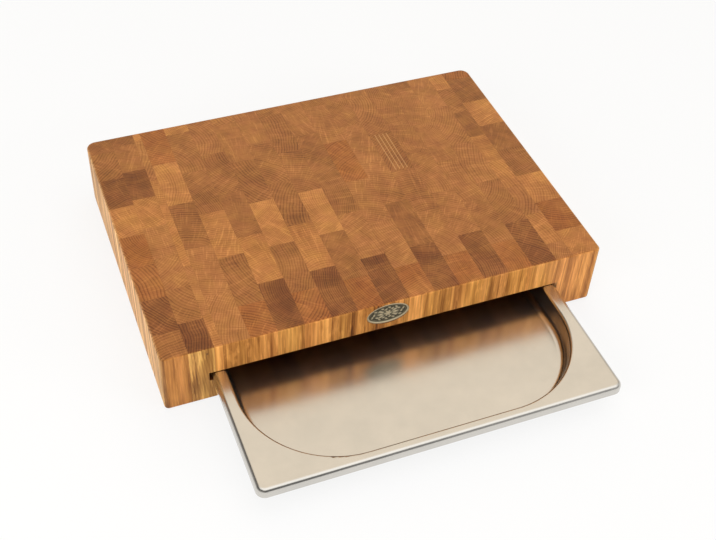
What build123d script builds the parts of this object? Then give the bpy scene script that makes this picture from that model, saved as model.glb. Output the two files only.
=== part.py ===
from build123d import *
import os

# End-grain chopping board that stands on two side rails and a back rail.
# A pressed steel tray hangs by its rim in a groove in each side rail and
# pulls out towards the front. Millimetres, +Z up, +X to the right, and the
# tray pulls out along -Y. The origin is on the table, under the middle of
# the board with its tray drawn out.

# ---- Driving dimensions ----

# Tray: a half-size catering tray, 20 deep
tray_width = 325.0
tray_depth = 265.0
tray_corner_radius = 8.0
sheet = 0.8
rim_height = 8.5
rim_bend_radius = 4.0
flange_side = 12.5
flange_end = 10.0
well_depth = 20.0
well_corner_radius = 84.0
well_lip_radius = 3.5
well_wall_inset = 3.0
well_floor_radius = 6.0

# Running room of the tray in the board
tray_side_play = 2.5
tray_front_inset = 1.5
tray_back_gap = 1.5
tray_seat_gap = 0.3
tray_top_gap = 0.7
tray_drawn_out = 129.0

# Board
slab_thickness = 31.0
cavity_height = 33.0
rail_width = 46.0
groove_depth = 6.0
back_rail_depth = 27.0
front_corner_radius = 4.0
back_corner_radius = 9.0
edge_radius = 2.0

# Glued strips and the blocks in them
left_outer_strip_width = 24.0
right_outer_strip_width = 29.0
filler_strip_width = 7.3
slab_strip_count = 13
slab_block_length = 61.0
slab_even_first_block = 57.5
slab_odd_first_block = 37.5
rail_block_length = 41.0
left_outer_first_block = 28.0
left_inner_first_block = 34.0
right_inner_first_block = 21.0
right_outer_first_block = 34.0
back_rail_block_count = 7
shortest_block = 6.0

# Badge
badge_width = 39.5
badge_height = 22.8
badge_plate_thickness = 1.3
badge_rim_thickness = 2.0
badge_rim_width = 1.9
badge_offset = -3.7
badge_above_middle = 1.5
badge_clearance = 0.25
badge_sunk = 0.3

# ---- Sizes that follow ----

groove_height = rim_height + tray_seat_gap + tray_top_gap
board_width = tray_width + 2 * (tray_side_play + rail_width - groove_depth)
bay_depth = tray_front_inset + tray_depth + tray_back_gap
board_depth = bay_depth + back_rail_depth
board_height = cavity_height + slab_thickness
slab_width = board_width - 2 * rail_width
slab_strip_width = (slab_width - filler_strip_width) / slab_strip_count

left = -board_width / 2
right = board_width / 2
tray_reach = tray_drawn_out - tray_front_inset
front = (tray_reach - board_depth) / 2
back = front + board_depth
slab_left = left + rail_width
slab_right = right - rail_width
ledge_top = cavity_height - groove_height
flange_top = ledge_top + tray_seat_gap + rim_height


def span(x_from, x_to, y_from, y_to, z_from, z_to):
    """A plain block between two opposite corners."""
    size = (x_to - x_from, y_to - y_from, z_to - z_from)
    centre = ((x_from + x_to) / 2, (y_from + y_to) / 2, (z_from + z_to) / 2)
    return Pos(*centre) * Box(*size)


def tray_bay():
    """The room under the slab, with the groove for the tray rim on each side."""
    bay_front = front - tray_reach
    bay_back = front + bay_depth
    bay = span(slab_left, slab_right, bay_front, bay_back, -cavity_height, cavity_height)
    groove_left = slab_left - groove_depth
    groove_right = slab_right + groove_depth
    return bay + span(groove_left, groove_right, bay_front, bay_back, ledge_top, cavity_height)


def badge_seat():
    """The plane of the pocket floor that carries the badge, facing forwards."""
    height = cavity_height + slab_thickness / 2 + badge_above_middle
    pocket_floor = front + badge_rim_thickness + badge_sunk
    return Plane(origin=(badge_offset, pocket_floor, height), x_dir=(1, 0, 0), z_dir=(0, -1, 0))


def badge_pocket():
    """The oval pocket that is routed into the front of the slab for the badge."""
    outline = Ellipse(badge_width / 2 + badge_clearance, badge_height / 2 + badge_clearance)
    return badge_seat() * extrude(outline, badge_rim_thickness + badge_sunk)


def board_form():
    """The whole board as machined and sanded, before it is divided into its blocks."""
    form = span(left, right, front, back, 0, board_height)
    uprights = form.edges().filter_by(Axis.Z).sort_by(Axis.Y)
    form = fillet(uprights[:2], front_corner_radius)
    uprights = form.edges().filter_by(Axis.Z).sort_by(Axis.Y)
    form = fillet(uprights[-2:], back_corner_radius) - tray_bay()
    flats = form.faces().sort_by(Axis.Z)
    form = fillet(flats[0].edges() + flats[-1].edges(), edge_radius)
    return form - badge_pocket()


def block_ends(first_block, block_length):
    """The joints of a strip from front to back. A last sliver stays on its neighbour."""
    ends = [front]
    joint = front + first_block
    while joint < back - shortest_block:
        ends.append(joint)
        joint += block_length
    return ends + [back]


def strip(form, x_from, x_to, z_from, first_block, block_length):
    """One glued strip: separate end-grain blocks, end to end, cut out of the board's form."""
    ends = block_ends(first_block, block_length)
    return [
        form & span(x_from, x_to, y_from, y_to, z_from, board_height)
        for y_from, y_to in zip(ends, ends[1:])
    ]


def slab_strips(form):
    """The filler strip and the equal strips of the slab, their joints staggered."""
    equal_left = slab_left + filler_strip_width
    filler = strip(
        form, slab_left, equal_left, cavity_height, slab_odd_first_block, slab_block_length
    )
    strips = {"slab_filler_strip": filler}
    for index in range(slab_strip_count):
        x_from = equal_left + index * slab_strip_width
        x_to = x_from + slab_strip_width
        first_block = slab_odd_first_block if index % 2 else slab_even_first_block
        name = f"slab_strip_{index + 1:02d}"
        strips[name] = strip(form, x_from, x_to, cavity_height, first_block, slab_block_length)
    return strips


def side_rails(form):
    """Two full-height strips in each side rail. The inner ones carry the tray's grooves."""
    left_joint = left + left_outer_strip_width
    right_joint = right - right_outer_strip_width
    rails = {
        "left_rail_outer_strip": (left, left_joint, left_outer_first_block),
        "left_rail_inner_strip": (left_joint, slab_left, left_inner_first_block),
        "right_rail_inner_strip": (slab_right, right_joint, right_inner_first_block),
        "right_rail_outer_strip": (right_joint, right, right_outer_first_block),
    }
    return {
        name: strip(form, x_from, x_to, 0, first_block, rail_block_length)
        for name, (x_from, x_to, first_block) in rails.items()
    }


def back_rail(form):
    """A row of blocks under the back of the slab, which closes the bay."""
    block_width = slab_width / back_rail_block_count
    joints = [slab_left + index * block_width for index in range(back_rail_block_count + 1)]
    return [
        form & span(x_from, x_to, back - back_rail_depth, back, 0, cavity_height)
        for x_from, x_to in zip(joints, joints[1:])
    ]


def well_block(depth, grown_by):
    """The tray's well as a solid block, from its mouth at height zero down to its floor."""
    mouth_width = tray_width - 2 * flange_side + 2 * grown_by
    mouth_depth = tray_depth - 2 * flange_end + 2 * grown_by
    mouth_radius = well_corner_radius + grown_by
    mouth = RectangleRounded(mouth_width, mouth_depth, mouth_radius)
    floor = RectangleRounded(
        mouth_width - 2 * well_wall_inset,
        mouth_depth - 2 * well_wall_inset,
        mouth_radius - well_wall_inset,
    )
    block = loft([mouth, Pos(0, 0, -depth) * floor])
    floor_edges = block.faces().sort_by(Axis.Z)[0].edges()
    return fillet(floor_edges, well_floor_radius + grown_by)


def tray_form(inset, well, lip_radius, bottom):
    """Everything under one skin of the sheet: the outer skin at inset 0, the inner at one sheet."""
    outline = RectangleRounded(
        tray_width - 2 * inset, tray_depth - 2 * inset, tray_corner_radius - inset
    )
    form = extrude(Pos(0, 0, bottom) * outline, -bottom - inset)
    form = fillet(form.faces().sort_by(Axis.Z)[-1].edges(), rim_bend_radius - inset)
    form = form - Pos(0, 0, -inset) * well
    top = form.faces().filter_by(Plane.XY).sort_by(Axis.Z)[-1]
    return fillet(top.inner_wires()[0].edges(), lip_radius)


def tray():
    """The pressed tray: turned-down rim, flat flange and rounded well, one sheet thick."""
    bottom = -well_depth - rim_height
    outer_skin = tray_form(0, well_block(well_depth, 0), well_lip_radius, bottom)
    inner_skin = tray_form(sheet, well_block(well_depth, sheet), well_lip_radius - sheet, bottom)
    pressing = outer_skin - inner_skin
    # the rim stops short of the floor, so the skirt below it is trimmed away
    half_width = (tray_width - flange_side) / 2
    half_depth = (tray_depth - flange_end) / 2
    skirt = span(-tray_width, tray_width, -tray_depth, tray_depth, 2 * bottom, -rim_height)
    skirt -= span(-half_width, half_width, -half_depth, half_depth, 2 * bottom, -rim_height)
    tray_front = front - tray_reach
    return Pos(0, tray_front + tray_depth / 2, flange_top) * (pressing - skirt)


def badge():
    """The cast oval badge: a thin plate with a raised rim, set into its pocket."""
    half_width = badge_width / 2
    half_height = badge_height / 2
    plate = extrude(Ellipse(half_width, half_height), badge_plate_thickness)
    field = Ellipse(half_width - badge_rim_width, half_height - badge_rim_width)
    rim = extrude(Ellipse(half_width, half_height) - field, badge_rim_thickness)
    return badge_seat() * (plate + rim)


def build():
    """Every piece by name, each as a list of its solids."""
    form = board_form()
    pieces = {"tray": [tray()], "badge": [badge()], "back_rail": back_rail(form)}
    pieces.update(side_rails(form))
    pieces.update(slab_strips(form))
    return pieces


os.makedirs("parts", exist_ok=True)
for name, solids in build().items():
    shape = solids[0] if len(solids) == 1 else Compound(children=solids)
    export_step(shape, f"parts/{name}.step")
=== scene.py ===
import math

import bmesh
import bpy
from mathutils import Euler, Matrix, Vector


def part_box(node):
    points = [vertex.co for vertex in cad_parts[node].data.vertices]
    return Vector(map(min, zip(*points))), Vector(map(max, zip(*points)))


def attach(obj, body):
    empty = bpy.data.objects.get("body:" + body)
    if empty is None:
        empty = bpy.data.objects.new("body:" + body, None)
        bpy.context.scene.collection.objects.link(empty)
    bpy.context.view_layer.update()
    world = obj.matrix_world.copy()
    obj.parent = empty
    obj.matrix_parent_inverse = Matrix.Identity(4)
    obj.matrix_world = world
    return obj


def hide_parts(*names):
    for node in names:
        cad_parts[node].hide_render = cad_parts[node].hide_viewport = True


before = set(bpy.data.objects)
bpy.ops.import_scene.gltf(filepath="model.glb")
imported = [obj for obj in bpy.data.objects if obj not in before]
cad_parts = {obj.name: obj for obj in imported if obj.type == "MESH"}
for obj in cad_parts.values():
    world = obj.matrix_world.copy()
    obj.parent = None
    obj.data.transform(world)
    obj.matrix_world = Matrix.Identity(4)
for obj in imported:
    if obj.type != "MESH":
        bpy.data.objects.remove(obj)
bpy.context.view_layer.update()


# ---- Oak blocks ----
# The board is glued up from upright oak blocks, so the chopping surface is
# end grain and the sides are long grain. The blocks are sawn from mixed
# boards, pale to dark, glued into strips, sanded flush and oiled.

mm = 0.001


def plug_in(tree, node, inputs):
    """The inputs of a node, each linked to a socket or set to a value."""
    for socket, value in inputs.items():
        if isinstance(value, bpy.types.NodeSocket):
            tree.links.new(value, node.inputs[socket])
        else:
            node.inputs[socket].default_value = value


def add_node(tree, kind, inputs=(), **settings):
    """A node in a tree, with its settings made and its inputs linked or set."""
    made = tree.nodes.new(kind)
    for name, value in settings.items():
        setattr(made, name, value)
    plug_in(tree, made, dict(inputs))
    return made


def work_out(tree, operation, *values):
    """The result of one operation on numbers or sockets."""
    return add_node(tree, "ShaderNodeMath", enumerate(values), operation=operation).outputs[0]


def work_out_vector(tree, operation, *values):
    """The result of one operation on vectors or sockets."""
    return add_node(tree, "ShaderNodeVectorMath", enumerate(values), operation=operation).outputs[0]


def split(tree, vector):
    """The three numbers of a vector."""
    return add_node(tree, "ShaderNodeSeparateXYZ", {0: vector}).outputs


def join(tree, x, y, z):
    """A vector of three numbers or sockets."""
    return add_node(tree, "ShaderNodeCombineXYZ", {0: x, 1: y, 2: z}).outputs[0]


def fade(tree, value, low, high, to_low=0.0, to_high=1.0):
    """A value that goes smoothly from one level to another between two bounds."""
    inputs = {"Value": value, "From Min": low, "From Max": high, "To Min": to_low, "To Max": to_high}
    return add_node(tree, "ShaderNodeMapRange", inputs, interpolation_type="SMOOTHSTEP").outputs[0]


def swing(tree, pattern, depth, level):
    """A level that a pattern between 0 and 1 moves up and down by half a depth."""
    return work_out(tree, "MULTIPLY_ADD", work_out(tree, "SUBTRACT", pattern, 0.5), depth, level)


def noise(tree, place, scale, detail=2.0, roughness=0.5):
    """Smooth noise between 0 and 1."""
    inputs = {"Vector": place, "Scale": scale, "Detail": detail, "Roughness": roughness}
    return add_node(tree, "ShaderNodeTexNoise", inputs).outputs[0]


def stretched_noise(tree, place, stretch, detail, roughness=0.5):
    """Smooth noise between 0 and 1, with its own scale along each axis."""
    return noise(tree, work_out_vector(tree, "MULTIPLY", place, stretch), 1.0, detail, roughness)


def ramp(tree, value, stops, interpolation="LINEAR"):
    """A colour that follows a value through the given stops."""
    made = add_node(tree, "ShaderNodeValToRGB", {0: value})
    elements = made.color_ramp.elements
    made.color_ramp.interpolation = interpolation
    while len(elements) < len(stops):
        elements.new(1.0)
    for element, (position, colour) in zip(elements, stops):
        element.position = position
        element.color = (*colour, 1.0)
    return made.outputs[0]


def mix(tree, share, first, second, way="MIX"):
    """One colour mixed into another."""
    inputs = {"Factor": share, 6: first, 7: second}
    return add_node(tree, "ShaderNodeMix", inputs, data_type="RGBA", blend_type=way).outputs[2]


def open_group(name, inputs, outputs):
    """A shader group with named sockets, and its input and output nodes."""
    tree = bpy.data.node_groups.new(name, "ShaderNodeTree")
    for label, kind in inputs.items():
        tree.interface.new_socket(label, in_out="INPUT", socket_type=f"NodeSocket{kind}")
    for label, kind in outputs.items():
        tree.interface.new_socket(label, in_out="OUTPUT", socket_type=f"NodeSocket{kind}")
    return tree, tree.nodes.new("NodeGroupInput").outputs, tree.nodes.new("NodeGroupOutput")


def group_node(tree, group, inputs):
    """The outputs of a group placed in a tree."""
    made = tree.nodes.new("ShaderNodeGroup")
    made.node_tree = group
    plug_in(tree, made, inputs)
    return made.outputs


def new_material(name):
    """A material with its node tree and its Principled node."""
    material = bpy.data.materials.new(name)
    material.use_nodes = True
    return material, material.node_tree, material.node_tree.nodes["Principled BSDF"]


def place_in_mm(tree):
    """Where a shaded point lies in the part's frame, in millimetres."""
    at = tree.nodes.new("ShaderNodeTexCoord").outputs["Object"]
    return work_out_vector(tree, "MULTIPLY", at, (1 / mm,) * 3)


def emboss(tree, finish, height, depth, strength):
    """Relief too fine for the mesh, with its depth in millimetres."""
    inputs = {"Height": height, "Distance": depth * mm, "Strength": strength}
    tree.links.new(add_node(tree, "ShaderNodeBump", inputs).outputs[0], finish.inputs["Normal"])


def dress(name, material):
    """A material put on a CAD piece in place of its plain one."""
    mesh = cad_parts[name].data
    mesh.materials.clear()
    mesh.materials.append(material)


def paint(red, green, blue):
    """A colour as it is seen on a screen, as the amounts of light that shaders use."""
    return tuple(((part / 255 + 0.055) / 1.055) ** 2.4 for part in (red, green, blue))


timbers = {
    "d": paint(124, 71, 31),
    "b": paint(151, 95, 47),
    "r": paint(155, 92, 41),
    "m": paint(165, 106, 55),
    "h": paint(178, 116, 59),
    "p": paint(182, 120, 62),
}


def make_block_layout():
    """Where a point lies in its strip's blocks, in millimetres, and how near it is to a glue line."""
    tree, given, result = open_group(
        "block_layout",
        {
            "Place": "Vector", "Facing": "Vector", "Left": "Float", "Width": "Float",
            "First joint": "Float", "Block length": "Float",
        },
        {"Local": "Vector", "Block": "Float", "Glue": "Float"},
    )
    width, length = given["Width"], given["Block length"]
    glue_core, glue_edge = 0.08, 0.3
    x, y, z = split(tree, given["Place"])
    blocks_on = work_out(tree, "DIVIDE", work_out(tree, "SUBTRACT", y, given["First joint"]), length)
    block = work_out(tree, "MAXIMUM", work_out(tree, "ADD", work_out(tree, "FLOOR", blocks_on), 1.0), 0.0)
    within = work_out(tree, "MULTIPLY", work_out(tree, "FRACT", blocks_on), length)
    across = work_out(tree, "SUBTRACT", x, given["Left"])
    off_middle = work_out(tree, "SUBTRACT", across, work_out(tree, "MULTIPLY", width, 0.5))
    off_half_way = work_out(tree, "SUBTRACT", within, work_out(tree, "MULTIPLY", length, 0.5))
    end_gap = work_out(tree, "MINIMUM", within, work_out(tree, "SUBTRACT", length, within))
    side_gap = work_out(tree, "MINIMUM", across, work_out(tree, "SUBTRACT", width, across))
    # a strip's own side faces are glued or bare, and show no glue line
    sideways = work_out(tree, "ABSOLUTE", split(tree, given["Facing"])[0])
    side_gap = work_out(tree, "ADD", side_gap, work_out(tree, "GREATER_THAN", sideways, 0.5))
    plug_in(tree, result, {
        "Local": join(tree, off_middle, off_half_way, z),
        "Block": block,
        "Glue": fade(tree, work_out(tree, "MINIMUM", end_gap, side_gap), glue_core, glue_edge, 1.0, 0.0),
    })
    return tree


def make_oak_figure():
    """Growth rings, rays, pores and clouds of a block, as a solid pattern round its own pith."""
    tree, given, result = open_group(
        "oak_figure",
        {
            "Local": "Vector", "Place": "Vector", "Facing": "Vector", "Block": "Float", "Seed": "Float",
            "Timber": "Color", "Honey": "Color",
        },
        {"Color": "Color", "Roughness": "Float", "Height": "Float"},
    )
    dice = [
        split(tree, add_node(
            tree, "ShaderNodeTexWhiteNoise", {"Vector": join(tree, given["Seed"], given["Block"], throw)},
            noise_dimensions="3D",
        ).outputs["Color"])
        for throw in (1.0, 2.0)
    ]
    (bearing_dice, reach_dice, shift_dice), (lean_dice, width_dice, tone_dice) = dice
    x, y, z = split(tree, given["Local"])
    shift = work_out(tree, "MULTIPLY", shift_dice, 400.0)
    along_grain = work_out(tree, "MULTIPLY", z, 0.045)
    grain_place = join(tree, work_out(tree, "ADD", x, shift), work_out(tree, "ADD", y, shift), along_grain)

    # the pith lies outside the block, and the stem leans a little
    nearest_pith, pith_spread = 32.0, 75.0
    thinnest_ring, ring_spread = 1.6, 1.4
    steepest_lean, widest_wander = 0.14, 2.5
    bearing = work_out(tree, "MULTIPLY", bearing_dice, 2 * math.pi)
    reach = work_out(tree, "MULTIPLY_ADD", reach_dice, pith_spread, nearest_pith)
    pith_x = work_out(tree, "MULTIPLY", work_out(tree, "COSINE", bearing), reach)
    pith_y = work_out(tree, "MULTIPLY", work_out(tree, "SINE", bearing), reach)
    from_pith_x = work_out(tree, "SUBTRACT", x, pith_x)
    from_pith_y = work_out(tree, "SUBTRACT", y, pith_y)
    y_squared = work_out(tree, "MULTIPLY", from_pith_y, from_pith_y)
    radius = work_out(tree, "SQRT", work_out(tree, "MULTIPLY_ADD", from_pith_x, from_pith_x, y_squared))
    angle = work_out(tree, "ARCTAN2", from_pith_y, from_pith_x)
    wander = swing(tree, noise(tree, grain_place, 0.05), 2 * widest_wander, 0.0)
    lean_side = work_out(tree, "MULTIPLY_ADD", lean_dice, 2.0, -1.0)
    lean = work_out(tree, "MULTIPLY", work_out(tree, "POWER", lean_side, 3.0), steepest_lean)
    growth = work_out(tree, "ADD", work_out(tree, "MULTIPLY_ADD", z, lean, radius), wander)
    ring_width = work_out(tree, "MULTIPLY_ADD", width_dice, ring_spread, thinnest_ring)
    years = work_out(tree, "DIVIDE", growth, ring_width)
    tones_of_a_year = ((0.0, 1.0), (0.22, 0.75), (0.45, 0.12), (0.86, 0.0), (1.0, 1.0))
    early_stops = [(time, (tone,) * 3) for time, tone in tones_of_a_year]
    early_wood = ramp(tree, work_out(tree, "FRACT", years), early_stops)
    good_years = fade(tree, noise(tree, join(tree, years, shift, 0.0), 0.6), 0.3, 0.7, 0.35, 1.0)
    rings = work_out(tree, "MULTIPLY", early_wood, good_years)

    # rays run out from the pith across the rings, and end after a few centimetres
    ray_place = join(
        tree, work_out(tree, "MULTIPLY", angle, 70.0), work_out(tree, "MULTIPLY", radius, 0.05),
        work_out(tree, "ADD", along_grain, shift),
    )
    rays = fade(tree, noise(tree, ray_place, 1.0, 3.0, 0.6), 0.52, 0.66)

    # pores stand thickest in the early wood
    pore_place = work_out_vector(tree, "MULTIPLY", grain_place, (2.4, 2.4, 1.6))
    cells = add_node(tree, "ShaderNodeTexVoronoi", {"Vector": pore_place, "Scale": 1.0}).outputs["Distance"]
    pore_share = fade(tree, rings, 0.1, 0.6, 0.25, 1.0)
    pores = work_out(tree, "MULTIPLY", fade(tree, cells, 0.12, 0.34, 1.0, 0.0), pore_share)
    clouds = noise(tree, grain_place, 0.09, 3.0)
    streaks = stretched_noise(tree, grain_place, (0.42, 0.42, 0.3), 4.0, 0.6)
    broad_streaks = stretched_noise(tree, grain_place, (0.13, 0.13, 0.1), 2.0)
    board_clouds = noise(tree, given["Place"], 0.016, 3.0, 0.6)

    # long grain is more streaked than end grain, and its rings are fainter
    sideways, _, upward = split(tree, work_out_vector(tree, "ABSOLUTE", given["Facing"]))
    long_grain = fade(tree, upward, 0.35, 0.85, 1.0, 0.0)
    darkness = add_node(tree, "ShaderNodeRGBToBW", {0: given["Timber"]}).outputs[0]
    end_rings = fade(tree, darkness, 0.08, 0.24, 0.62, 0.34)
    ring_depth = fade(tree, long_grain, 0.0, 1.0, end_rings, 0.2)
    shade = work_out(tree, "MULTIPLY_ADD", rings, work_out(tree, "MULTIPLY", ring_depth, -1.0), 1.07)
    shade = work_out(tree, "MULTIPLY_ADD", rays, 0.3, shade)
    shade = work_out(tree, "MULTIPLY_ADD", pores, -0.14, shade)
    shade = swing(tree, clouds, 0.65, shade)
    shade = swing(tree, board_clouds, 0.7, shade)
    shade = swing(tree, streaks, work_out(tree, "MULTIPLY_ADD", long_grain, 1.5, 0.3), shade)
    shade = swing(tree, tone_dice, 0.1, shade)
    shade = swing(tree, broad_streaks, work_out(tree, "MULTIPLY", long_grain, 2.6), shade)

    # darker wood is redder, so green and blue fall faster than red
    tint = add_node(
        tree, "ShaderNodeCombineColor",
        {0: shade, 1: work_out(tree, "POWER", shade, 1.25), 2: work_out(tree, "POWER", shade, 1.55)},
    ).outputs[0]
    # blocks of one stem run into each other, and long grain of any timber is near to honey
    blend = fade(tree, noise(tree, given["Place"], 0.03, 2.0), 0.35, 0.65, 0.0, 0.4)
    timber = mix(tree, blend, given["Timber"], (*timbers["m"], 1.0))
    timber = mix(tree, work_out(tree, "MULTIPLY", long_grain, 0.6), timber, given["Honey"])
    # painted light: the long side faces of a strip are painted paler than its ends, standing in for the
    # sheen of light that grazes them
    painted_side_sheen = (*paint(226, 186, 132), 1.0)
    timber = mix(tree, work_out(tree, "MULTIPLY", sideways, 0.45), timber, painted_side_sheen)
    # the heartwood turns from rose to ochre in patches
    rose, ochre = (1.02, 0.97, 0.97), (1.0, 1.02, 0.89)
    warmth = ramp(tree, noise(tree, grain_place, 0.06, 2.0), ((0.35, rose), (0.65, ochre)))
    gloss = work_out(tree, "MULTIPLY_ADD", clouds, 0.16, 0.46)
    plug_in(tree, result, {
        "Color": mix(tree, 1.0, mix(tree, 1.0, timber, tint, "MULTIPLY"), warmth, "MULTIPLY"),
        "Roughness": work_out(tree, "MULTIPLY_ADD", pores, 0.15, gloss),
        "Height": work_out(tree, "MULTIPLY_ADD", pores, -1.0, work_out(tree, "MULTIPLY", rings, -0.45)),
    })
    return tree


block_layout = make_block_layout()
oak_figure = make_oak_figure()
glue_brown = paint(96, 54, 28)


def swap_ways(tree, vector):
    """A vector with its first two numbers changed about, for a strip that runs from side to side."""
    x, y, z = split(tree, vector)
    return join(tree, y, x, z)


def oak(name, first_joint, block_length, blocks, seed, honey=paint(218, 149, 74), crosswise=False):
    """The oak of one glued strip. Each letter of blocks is the timber of a block, from the first."""
    low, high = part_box(name)
    left, width, start = low.x / mm, (high.x - low.x) / mm, low.y / mm
    if crosswise:
        left, width, start = low.y / mm, (high.y - low.y) / mm, low.x / mm
    material, tree, finish = new_material(f"oak_{name}")
    place = place_in_mm(tree)
    facing = tree.nodes.new("ShaderNodeTexCoord").outputs["Normal"]
    if crosswise:
        place, facing = swap_ways(tree, place), swap_ways(tree, facing)
    laid = group_node(tree, block_layout, {
        "Place": place, "Facing": facing, "Left": left, "Width": width,
        "First joint": start + first_joint, "Block length": block_length,
    })
    share = work_out(tree, "DIVIDE", work_out(tree, "ADD", laid["Block"], 0.5), float(len(blocks)))
    stops = [(index / len(blocks), timbers[letter]) for index, letter in enumerate(blocks)]
    figured = group_node(tree, oak_figure, {
        "Local": laid["Local"], "Place": place, "Facing": facing, "Block": laid["Block"],
        "Seed": float(seed), "Timber": ramp(tree, share, stops, "CONSTANT"), "Honey": (*honey, 1.0),
    })
    glue_line = work_out(tree, "MULTIPLY", laid["Glue"], 0.16)
    plug_in(tree, finish, {
        "Base Color": mix(tree, glue_line, figured["Color"], (*glue_brown, 1.0)),
        "Roughness": figured["Roughness"],
        "Specular IOR Level": 0.3,
    })
    emboss(tree, finish, figured["Height"], 0.06, 0.5)
    dress(name, material)


# the rails' strips, each with the length of its first block
rail_block = 41.0
right_honey = paint(191, 125, 60)
oak("left_rail_outer_strip", 28.0, rail_block, "bdrrhdbb", 1, honey=paint(190, 125, 60))
oak("left_rail_inner_strip", 34.0, rail_block, "dbmmhdbb", 2, honey=paint(244, 186, 104))
oak("right_rail_inner_strip", 21.0, rail_block, "mhmhhbmh", 3, honey=right_honey)
oak("right_rail_outer_strip", 34.0, rail_block, "hrhbbpbr", 4, honey=right_honey)

# the slab's strips, their joints staggered by a long and a short first block in turn
slab_block = 61.0
long_first_block = 57.5
short_first_block = 37.5
oak("slab_filler_strip", short_first_block, slab_block, "hmhhmp", 5)
slab_strips = (
    "mmbpr", "rbpbbp", "dhbbm", "rbpbmm", "dhbbm", "rbpbbm", "dmbbm",
    "rmmrmb", "dbmmm", "rmmbmm", "dmmmm", "rbmmmb", "dbmmm",
)
for number, blocks in enumerate(slab_strips, 1):
    first_block = long_first_block if number % 2 else short_first_block
    oak(f"slab_strip_{number:02d}", first_block, slab_block, blocks, 10 + number)

# the back rail, a row of equal blocks between the side rails
back_rail_length = 318.0
back_blocks = "mbmhmbm"
back_block = back_rail_length / len(back_blocks)
oak("back_rail", back_block, back_block, back_blocks, 40, crosswise=True)


def paint_over(tree, share, colour):
    """A colour laid over what a material already shows."""
    base = tree.nodes["Principled BSDF"].inputs["Base Color"]
    tree.links.new(mix(tree, share, base.links[0].from_socket, (*colour, 1.0)), base)


# one block of the tenth strip is crossed by four pale rays
tree = bpy.data.materials["oak_slab_strip_10"].node_tree
block_middle, half_ray = 106.25, 28.0
x, y, z = split(tree, place_in_mm(tree))
pale_rays = 0.0
for ray_place in (69.4, 73.5, 77.6, 81.4):
    off = work_out(tree, "ABSOLUTE", work_out(tree, "SUBTRACT", x, ray_place))
    pale_rays = work_out(tree, "MAXIMUM", fade(tree, off, 0.25, 0.8, 1.0, 0.0), pale_rays)
in_block = work_out(tree, "COMPARE", y, block_middle, half_ray)
share = work_out(tree, "MULTIPLY", work_out(tree, "MULTIPLY", pale_rays, in_block), 0.42)
paint_over(tree, share, paint(224, 170, 108))

# a pin knot in the front end of the left rail, near the slab. It is a little taller than wide, and
# runs back into the wood
tree = bpy.data.materials["oak_left_rail_inner_strip"].node_tree
pin_knot = (-165.3, -83.75, 57.8)
knot_squeeze = (1.0, 0.2, 0.6)
from_knot = work_out_vector(tree, "SUBTRACT", place_in_mm(tree), pin_knot)
squeezed = work_out_vector(tree, "MULTIPLY", from_knot, knot_squeeze)
off = add_node(tree, "ShaderNodeVectorMath", {0: squeezed}, operation="LENGTH").outputs["Value"]
paint_over(tree, fade(tree, off, 0.4, 1.3, 0.75, 0.0), paint(92, 58, 32))


# ---- Tray ----
# A catering tray pressed from one stainless sheet: a rounded well, a flat
# flange and a turned-down rim. The finish is a satin polish, a little uneven
# where the press stretched it, with fine marks from use.

def make_wipe_marks():
    """Fine marks left by wiping and stacking, and the slow waves of a pressed sheet."""
    tree, given, result = open_group(
        "wipe_marks", {"Place": "Vector"}, {"Marks": "Float", "Waves": "Float", "Clouds": "Float"}
    )
    marks = 0.0
    for turn, stretch in ((0.35, 14.0), (-1.1, 18.0), (1.9, 12.0)):
        turned = add_node(
            tree, "ShaderNodeVectorRotate", {"Vector": given["Place"], "Angle": turn},
            rotation_type="Z_AXIS",
        ).outputs[0]
        stretched = work_out_vector(tree, "MULTIPLY", turned, (1.0, stretch, 1.0))
        line = fade(tree, noise(tree, stretched, 0.12, 3.0, 0.7), 0.62, 0.75)
        marks = work_out(tree, "ADD", line, marks)
    plug_in(tree, result, {
        "Marks": marks,
        "Waves": noise(tree, given["Place"], 0.022, 1.0),
        "Clouds": noise(tree, given["Place"], 0.03, 4.0, 0.6),
    })
    return tree


steel, tree, finish = new_material("pressed_steel")
worn = group_node(tree, make_wipe_marks(), {"Place": place_in_mm(tree)})
polish = work_out(tree, "MULTIPLY_ADD", worn["Clouds"], 0.08, 0.2)
plug_in(tree, finish, {
    "Base Color": ramp(tree, worn["Clouds"], ((0.3, paint(204, 201, 195)), (0.7, paint(213, 209, 202)))),
    "Metallic": 1.0,
    "Roughness": work_out(tree, "MULTIPLY_ADD", worn["Marks"], 0.02, polish),
})
relief = work_out(tree, "MULTIPLY_ADD", worn["Marks"], -0.001, worn["Waves"])
emboss(tree, finish, relief, 0.5, 0.6)
dress("tray", steel)


# ---- Badge ----
# A small cast oval badge in a pocket in the slab's front. It has a rounded
# rim, a dark field and a low leaf wreath round a rosette. The patina is
# rubbed bright on whatever stands proud.

badge_low, badge_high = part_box("badge")
badge_half_width = (badge_high.x - badge_low.x) / 2 / mm
badge_half_height = (badge_high.z - badge_low.z) / 2 / mm
badge_seat = Matrix.Translation((
    (badge_low.x + badge_high.x) / 2, badge_high.y, (badge_low.z + badge_high.z) / 2
)) @ Matrix.Rotation(math.radians(90), 4, "X") @ Matrix.Scale(mm, 4)


def oval(inset, height, count=96):
    """Points round the badge at one distance in from its edge and one height above its back."""
    across, up = badge_half_width - inset, badge_half_height - inset
    turns = [2 * math.pi * step / count for step in range(count)]
    return [(across * math.cos(turn), up * math.sin(turn), height) for turn in turns]


def stacked_ovals(mesh, profile):
    """A closed skin through a run of ovals, capped at both ends."""
    rings = [[mesh.verts.new(point) for point in oval(inset, height)] for inset, height in profile]
    for lower, upper in zip(rings, rings[1:]):
        for index in range(len(lower)):
            following = (index + 1) % len(lower)
            mesh.faces.new((lower[index], lower[following], upper[following], upper[index]))
    mesh.faces.new(list(reversed(rings[0])))
    mesh.faces.new(rings[-1])


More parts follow.
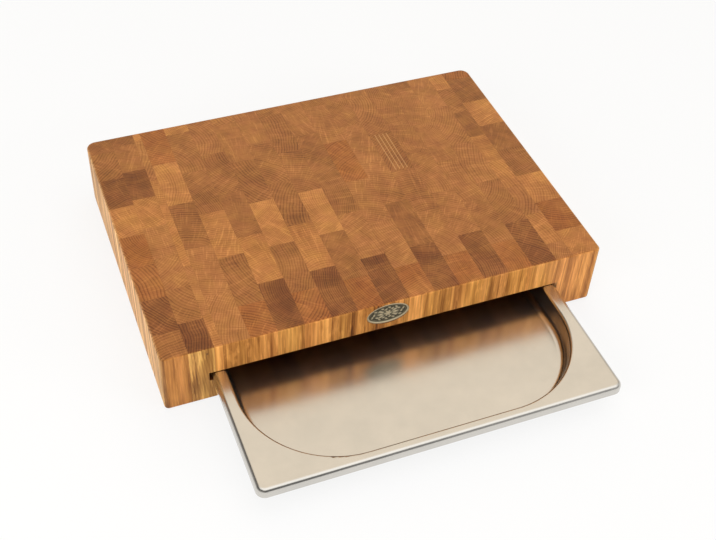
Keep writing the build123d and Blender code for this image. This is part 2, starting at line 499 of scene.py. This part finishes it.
# each step is a distance in from the edge and a height: side, rim, bead and field
badge_profile = (
    (0.15, 0.0), (0.0, 0.15), (0.0, 1.45), (0.12, 1.75), (0.4, 1.94), (0.8, 2.0), (1.2, 1.93),
    (1.5, 1.72), (1.68, 1.4), (1.78, 1.05), (2.0, 0.95), (2.5, 0.95), (2.65, 1.1), (2.85, 1.18),
    (3.05, 1.1), (3.2, 0.95), (4.5, 0.95), (6.5, 1.0), (9.0, 1.08), (10.6, 1.1),
)


def petal(length, width, height, steps=8):
    """A leaf or petal lying along +X, as a closed shell with a groove down its middle."""
    mesh = bmesh.new()
    base = mesh.verts.new((0.0, 0.0, 0.0))
    tip = mesh.verts.new((length, 0.0, 0.0))
    rows = []
    for step in range(1, steps):
        share = step / steps
        half = width / 2 * math.sin(math.pi * share ** 0.8)
        rise = height * math.sin(math.pi * share) ** 0.7
        section = (
            (-half, 0.0), (-half * 0.55, rise * 0.85), (0.0, rise * 0.7),
            (half * 0.55, rise * 0.85), (half, 0.0),
        )
        rows.append([mesh.verts.new((length * share, y, z)) for y, z in section])
    sides = [(index, (index + 1) % len(section)) for index in range(len(section))]
    for row, next_row in zip(rows, rows[1:]):
        for index, following in sides:
            mesh.faces.new((row[index], next_row[index], next_row[following], row[following]))
    for index, following in sides:
        mesh.faces.new((base, rows[0][index], rows[0][following]))
        mesh.faces.new((tip, rows[-1][following], rows[-1][index]))
    bmesh.ops.recalc_face_normals(mesh, faces=mesh.faces)
    made = bpy.data.meshes.new("leaf")
    mesh.to_mesh(made)
    mesh.free()
    return made


def make_wreath_tree():
    """Leaves that follow each other round an oval, tilted in and out by turns."""
    tree = bpy.data.node_groups.new("leaf_wreath", "GeometryNodeTree")
    wanted = {
        "Leaf": "Object", "Leaves": "Int", "Half width": "Float", "Half height": "Float",
        "Height": "Float", "Tilt": "Float", "Material": "Material",
    }
    for label, kind in wanted.items():
        tree.interface.new_socket(label, in_out="INPUT", socket_type=f"NodeSocket{kind}")
    tree.interface.new_socket("Geometry", in_out="OUTPUT", socket_type="NodeSocketGeometry")
    given = tree.nodes.new("NodeGroupInput").outputs
    circle = add_node(
        tree, "GeometryNodeCurvePrimitiveCircle", {"Resolution": 128, "Radius": 1.0}, mode="RADIUS"
    )
    size = join(tree, given["Half width"], given["Half height"], 1.0)
    lift = join(tree, 0.0, 0.0, given["Height"])
    stem = add_node(
        tree, "GeometryNodeTransform", {"Geometry": circle.outputs[0], "Scale": size, "Translation": lift}
    )
    spaced = add_node(
        tree, "GeometryNodeResampleCurve", {"Curve": stem.outputs[0], "Count": given["Leaves"]},
        mode="COUNT",
    )
    odd = work_out(tree, "MODULO", tree.nodes.new("GeometryNodeInputIndex").outputs[0], 2.0)
    side = work_out(tree, "MULTIPLY_ADD", odd, 2.0, -1.0)
    tilt = join(tree, 0.0, 0.0, work_out(tree, "MULTIPLY", side, given["Tilt"]))
    tangent = tree.nodes.new("GeometryNodeInputTangent").outputs[0]
    along = add_node(
        tree, "FunctionNodeAlignRotationToVector", {"Vector": tangent}, axis="X", pivot_axis="Z"
    )
    tilted = add_node(
        tree, "FunctionNodeRotateRotation",
        {0: along.outputs[0], 1: add_node(tree, "FunctionNodeEulerToRotation", {0: tilt}).outputs[0]},
        rotation_space="LOCAL",
    )
    leaf = add_node(tree, "GeometryNodeObjectInfo", {"Object": given["Leaf"]})
    leaves = add_node(
        tree, "GeometryNodeInstanceOnPoints",
        {"Points": spaced.outputs[0], "Instance": leaf.outputs["Geometry"], "Rotation": tilted.outputs[0]},
    )
    solid = add_node(tree, "GeometryNodeRealizeInstances", {0: leaves.outputs[0]})
    painted = add_node(
        tree, "GeometryNodeSetMaterial", {"Geometry": solid.outputs[0], "Material": given["Material"]}
    )
    plug_in(tree, tree.nodes.new("NodeGroupOutput"), {0: painted.outputs[0]})
    return tree


def evaluated_mesh(name, tree, values):
    """The plain mesh that a node tree makes with the given values."""
    holder = bpy.data.objects.new(name, bpy.data.meshes.new(name))
    bpy.context.scene.collection.objects.link(holder)
    modifier = holder.modifiers.new(name, "NODES")
    modifier.node_group = tree
    for item in tree.interface.items_tree:
        if item.in_out == "INPUT":
            modifier[item.identifier] = values[item.name]
    view = bpy.context.view_layer.depsgraph
    view.update()
    mesh = bpy.data.meshes.new_from_object(holder.evaluated_get(view))
    bpy.data.objects.remove(holder)
    return mesh


def make_patina():
    """Dark in the hollows, rubbed bright on what stands proud of the badge's field."""
    tree, given, result = open_group(
        "patina", {"Place": "Vector", "Field": "Float", "Crest": "Float"},
        {"Color": "Color", "Metallic": "Float", "Roughness": "Float", "Height": "Float"},
    )
    depth = work_out(tree, "MULTIPLY", split(tree, given["Place"])[1], -1.0)
    speckle = noise(tree, given["Place"], 1.6, 4.0, 0.65)
    proud = add_node(tree, "ShaderNodeMapRange", {
        "Value": swing(tree, speckle, 0.5, depth), "From Min": given["Field"], "From Max": given["Crest"],
    }).outputs[0]
    gloss = work_out(tree, "MULTIPLY_ADD", speckle, 0.15, 0.46)
    plug_in(tree, result, {
        "Color": ramp(tree, proud, (
            (0.0, paint(66, 61, 48)), (0.25, paint(104, 97, 78)),
            (0.6, paint(164, 154, 126)), (1.0, paint(208, 192, 158)),
        )),
        "Metallic": work_out(tree, "MULTIPLY_ADD", proud, 0.2, 0.35),
        "Roughness": work_out(tree, "MULTIPLY_ADD", proud, -0.2, gloss),
        "Height": speckle,
    })
    return tree


brass, tree, finish = new_material("old_brass")
seat_depth = -badge_high.y / mm
field_height, crest_height = 0.9, 1.5
aged = group_node(tree, make_patina(), {
    "Place": place_in_mm(tree),
    "Field": seat_depth + field_height, "Crest": seat_depth + crest_height,
})
plug_in(tree, finish, {
    "Base Color": aged["Color"], "Metallic": aged["Metallic"], "Roughness": aged["Roughness"],
})
emboss(tree, finish, aged["Height"], 0.05, 0.6)

badge_mesh = bmesh.new()
stacked_ovals(badge_mesh, badge_profile)

leaf = bpy.data.objects.new("leaf", petal(length=4.6, width=2.3, height=0.7))
bpy.context.scene.collection.objects.link(leaf)
badge_mesh.from_mesh(evaluated_mesh("wreath", make_wreath_tree(), {
    "Leaf": leaf, "Leaves": 20, "Half width": 13.6, "Half height": 5.7, "Height": 0.92,
    "Tilt": math.radians(24), "Material": brass,
}))
bpy.data.objects.remove(leaf)


def lay(mesh, spin, out, height):
    """A copy of a petal or leaf, moved outwards and turned about the badge's middle."""
    laid = mesh.copy()
    laid.transform(Matrix.Rotation(spin, 4, "Z") @ Matrix.Translation((out, 0, height)))
    badge_mesh.from_mesh(laid)


# a rosette of six petals round a boss, with three long leaves at its left and right
rosette_petal = petal(length=4.2, width=2.3, height=0.85)
for step in range(6):
    lay(rosette_petal, spin=step * math.pi / 3, out=0.0, height=1.02)
long_leaf = petal(length=7.4, width=2.6, height=0.75)
for side in range(2):
    for lean in (-0.42, 0.0, 0.42):
        lay(long_leaf, spin=side * math.pi + lean, out=3.4, height=0.95)
boss_height = 1.2
boss = bmesh.ops.create_uvsphere(badge_mesh, u_segments=16, v_segments=8, radius=1.1)
bmesh.ops.transform(badge_mesh, matrix=Matrix.Translation((0, 0, boss_height)), verts=boss["verts"])

bmesh.ops.transform(badge_mesh, matrix=badge_seat, verts=badge_mesh.verts)
badge_data = bpy.data.meshes.new("badge_casting")
badge_mesh.to_mesh(badge_data)
badge_mesh.free()
badge_data.materials.clear()
badge_data.materials.append(brass)
for face in badge_data.polygons:
    face.material_index = 0
    face.use_smooth = True
badge_casting = bpy.data.objects.new("badge_casting", badge_data)
bpy.context.scene.collection.objects.link(badge_casting)
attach(badge_casting, "board")
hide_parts("badge")


# ---- Studio ----
# A white table under soft light from above, and a camera where the
# photographer stood: in front of the board, to its left and well above it.

table_reach = 30.0
corners = [(table_reach * x, table_reach * y, 0) for x, y in ((-1, -1), (1, -1), (1, 1), (-1, 1))]
table_mesh = bpy.data.meshes.new("table")
table_mesh.from_pydata(corners, [], [(0, 1, 2, 3)])
table = bpy.data.objects.new("table", table_mesh)
bpy.context.scene.collection.objects.link(table)

white, tree, matte = new_material("white_table")
plug_in(tree, matte, {"Base Color": (0.86, 0.86, 0.85, 1.0), "Roughness": 0.9})
glow = add_node(tree, "ShaderNodeEmission", {"Color": (1.0, 1.0, 1.0, 1.0), "Strength": 1.0})
# the table is paper white wherever it is seen, and keeps a part of the shadow on it
rays = tree.nodes.new("ShaderNodeLightPath").outputs
seen = work_out(tree, "MAXIMUM", rays["Is Camera Ray"], rays["Is Glossy Ray"])
seen = work_out(tree, "MULTIPLY", work_out(tree, "MAXIMUM", seen, rays["Is Transmission Ray"]), 0.8)
mixed = add_node(tree, "ShaderNodeMixShader", {0: seen, 1: matte.outputs[0], 2: glow.outputs[0]})
plug_in(tree, tree.nodes["Material Output"], {"Surface": mixed.outputs[0]})
table_mesh.materials.append(white)

world = bpy.data.worlds.new("soft_room")
bpy.context.scene.world = world
world.use_nodes = True
tree = world.node_tree
# the walls are white at their foot all round. Above that a white lamp spans the room overhead, the
# wall beyond the board is cream, the one in front goes from dark to grey towards the right, and the
# sides are dark. The turn runs from the horizon in front, over the top, to the horizon beyond.
lamp_white, cream, white_wall = (1.45, 1.44, 1.42), (1.11, 0.99, 0.83), (1.0, 1.0, 1.0)
x, y, z = split(tree, tree.nodes.new("ShaderNodeTexCoord").outputs["Generated"])
turn = work_out(tree, "DIVIDE", work_out(tree, "ARCTAN2", z, work_out(tree, "MULTIPLY", y, -1.0)), math.pi)
room = ramp(tree, turn, ((0.34, lamp_white), (0.53, lamp_white), (0.64, cream), (1.0, cream)))
room = mix(tree, fade(tree, turn, 0.26, 0.34, 1.0, 0.0), room, fade(tree, x, 0.1, 0.5, 0.1, 0.5))
left_side, right_side = fade(tree, x, -0.42, -0.05, 1.0, 0.0), fade(tree, x, 0.5, 0.8, 0.0, 0.6)
below_lamp = fade(tree, z, 0.75, 0.92, 1.0, 0.0)
sides = work_out(tree, "MULTIPLY", work_out(tree, "MAXIMUM", left_side, right_side), below_lamp)
dark = ramp(tree, z, ((0.3, (0.42, 0.41, 0.4)), (0.6, (0.1, 0.095, 0.09))))
room = mix(tree, sides, room, dark)
room = mix(tree, fade(tree, z, 0.04, 0.12, 1.0, 0.0), room, (*white_wall, 1.0))
plug_in(tree, tree.nodes["Background"], {"Color": room, "Strength": 1.0})


def soft_box(name, place, target, width, height, power):
    """A rectangular lamp that looks at a point, in metres and watts."""
    lamp = bpy.data.lights.new(name, "AREA")
    lamp.shape = "RECTANGLE"
    lamp.size, lamp.size_y = width, height
    lamp.energy = power
    made = bpy.data.objects.new(name, lamp)
    bpy.context.scene.collection.objects.link(made)
    made.location = place
    made.visible_glossy = False
    made.rotation_euler = (Vector(target) - Vector(place)).to_track_quat("-Z", "Y").to_euler()


soft_box("key", (-1.4, -0.9, 1.0), (0.0, 0.0, 0.0), width=1.2, height=1.0, power=15.5)
soft_box("front_fill", (1.2, -1.3, 0.6), (0.15, 0.0, 0.03), width=1.0, height=0.6, power=11.0)
soft_box("left_fill", (-1.6, 0.2, 0.35), (0.0, 0.05, 0.03), width=1.0, height=0.5, power=3.5)

camera_data = bpy.data.cameras.new("camera")
camera_data.sensor_width = 36.0
camera_data.lens = 57.33
camera = bpy.data.objects.new("camera", camera_data)
camera.location = (-0.2963, -0.6914, 0.7753)
camera.rotation_euler = Euler([math.radians(angle) for angle in (44.953, -2.259, -21.041)], "XYZ")
bpy.context.scene.collection.objects.link(camera)
bpy.context.scene.camera = camera
bpy.context.scene.view_settings.view_transform = "Standard"
